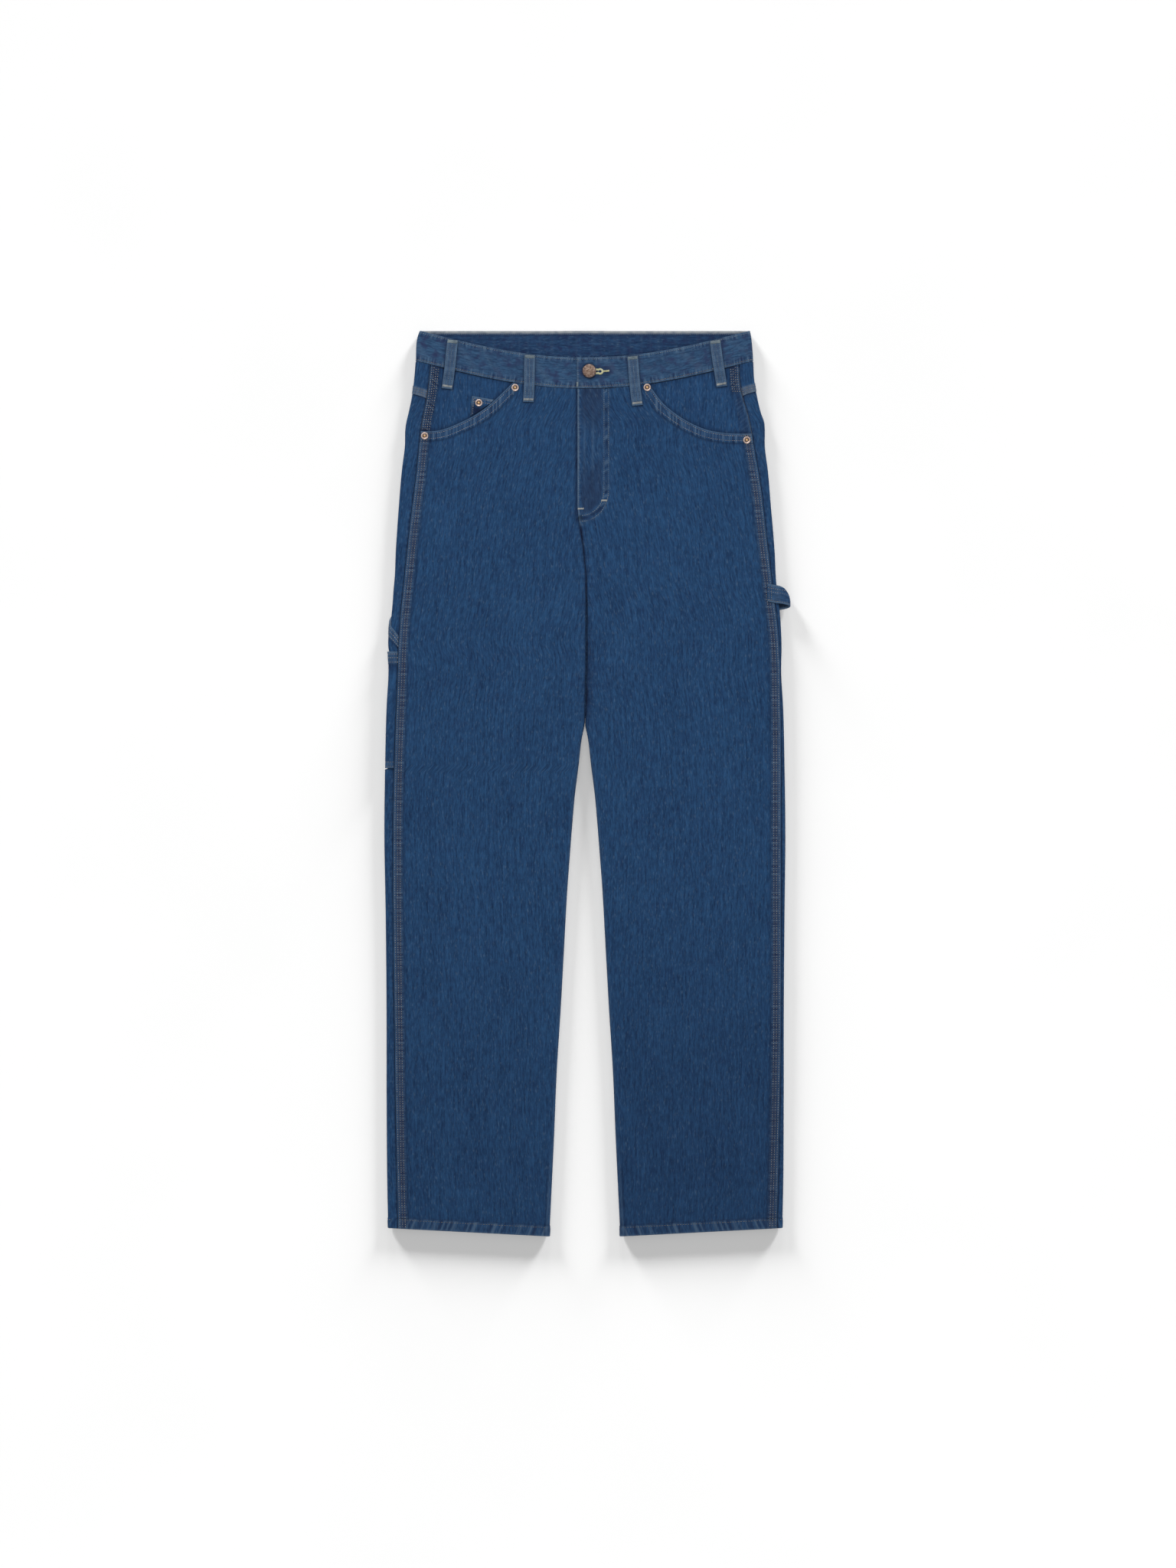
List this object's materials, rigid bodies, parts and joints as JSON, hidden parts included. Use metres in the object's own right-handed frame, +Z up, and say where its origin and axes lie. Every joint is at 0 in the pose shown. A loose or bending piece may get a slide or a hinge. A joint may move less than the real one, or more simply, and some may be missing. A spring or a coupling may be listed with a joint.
{
  "type": "carpenter pants",
  "caption": "Straight-leg blue denim carpenter trousers laid flat, with curved front pockets, back pockets, a layered tool pocket on one leg and a hammer loop on the other.",
  "frame": {"origin": "middle of the garment's outline, on the surface it lies on", "axes": "+Y from the hems towards the waist, +Z up out of the front, +X towards the leg with the hammer loop"},
  "size_m": [0.4988, 1.112, 0.0136],
  "materials": {
    "denim": "matt twill weave with streaked indigo yarn",
    "copper": "satin copper plate"
  },
  "bodies": {
    "root": {"waistband": "denim", "front_left": "denim", "front_right": "denim", "back_left": "denim", "back_right": "denim", "yoke_left": "denim", "yoke_right": "denim", "pocket_facing_left": "denim", "pocket_facing_right": "denim", "watch_pocket": "denim", "back_pocket_left": "denim", "back_pocket_right": "denim", "tool_pocket_upper": "denim", "tool_pocket_lower": "denim", "hammer_loop": "denim", "belt_loop_1": "denim", "belt_loop_2": "denim", "belt_loop_3": "denim", "belt_loop_4": "denim", "belt_loop_back": "denim", "waist_button": "copper", "rivet_1": "copper", "rivet_2": "copper", "rivet_3": "copper", "rivet_4": "copper", "rivet_5": "copper"}
  },
  "joints": []
}
